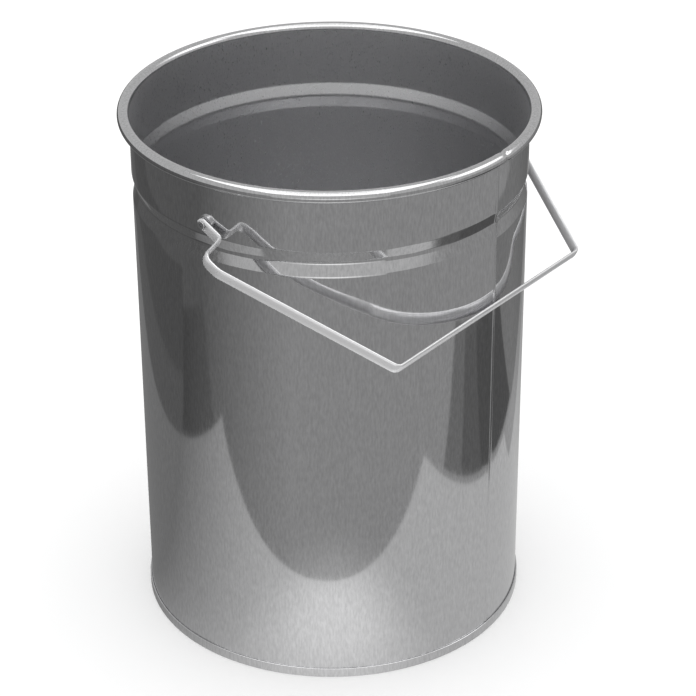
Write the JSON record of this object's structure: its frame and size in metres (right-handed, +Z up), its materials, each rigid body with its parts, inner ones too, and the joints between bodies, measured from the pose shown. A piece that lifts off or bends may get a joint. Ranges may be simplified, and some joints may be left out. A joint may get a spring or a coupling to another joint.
{
  "type": "open tinplate pail",
  "caption": "Open cylindrical tinplate paint pail with rolled rim, neck bead, double-seamed bottom and a swinging flat-strap handle.",
  "frame": {"origin": "centre of the can's base, on the plane it stands on", "axes": "+Z up the can's axis; X through the two handle ears; the handle at rest hangs towards -Y with its bar against the wall"},
  "size_m": [0.2671, 0.24, 0.317],
  "materials": {
    "tinplate": "bright tinned, fine vertical mill grain",
    "tinplate_bottom": "bright tinned",
    "weld_lap": "welded edge, slightly darker",
    "compound": "matt sealing compound",
    "strap_steel": "bright zinc-plated strip",
    "ear_steel": "bright"
  },
  "bodies": {
    "can": {"body_shell": "tinplate", "side_seam_lap": "weld_lap", "bottom_end": "tinplate_bottom", "seam_compound": "compound", "right_ear_pad": "ear_steel", "left_ear_pad": "ear_steel", "right_ear_rivet": "ear_steel", "left_ear_rivet": "ear_steel"},
    "bail": {"bail_strap": "strap_steel"}
  },
  "joints": [
    {"name": "bail_swing", "type": "hinge", "parent": "can", "child": "bail", "pos_m": [0, -0.0038, 0.2867], "axis": [-1, 0, 0], "range_deg": [0, 231]}
  ]
}
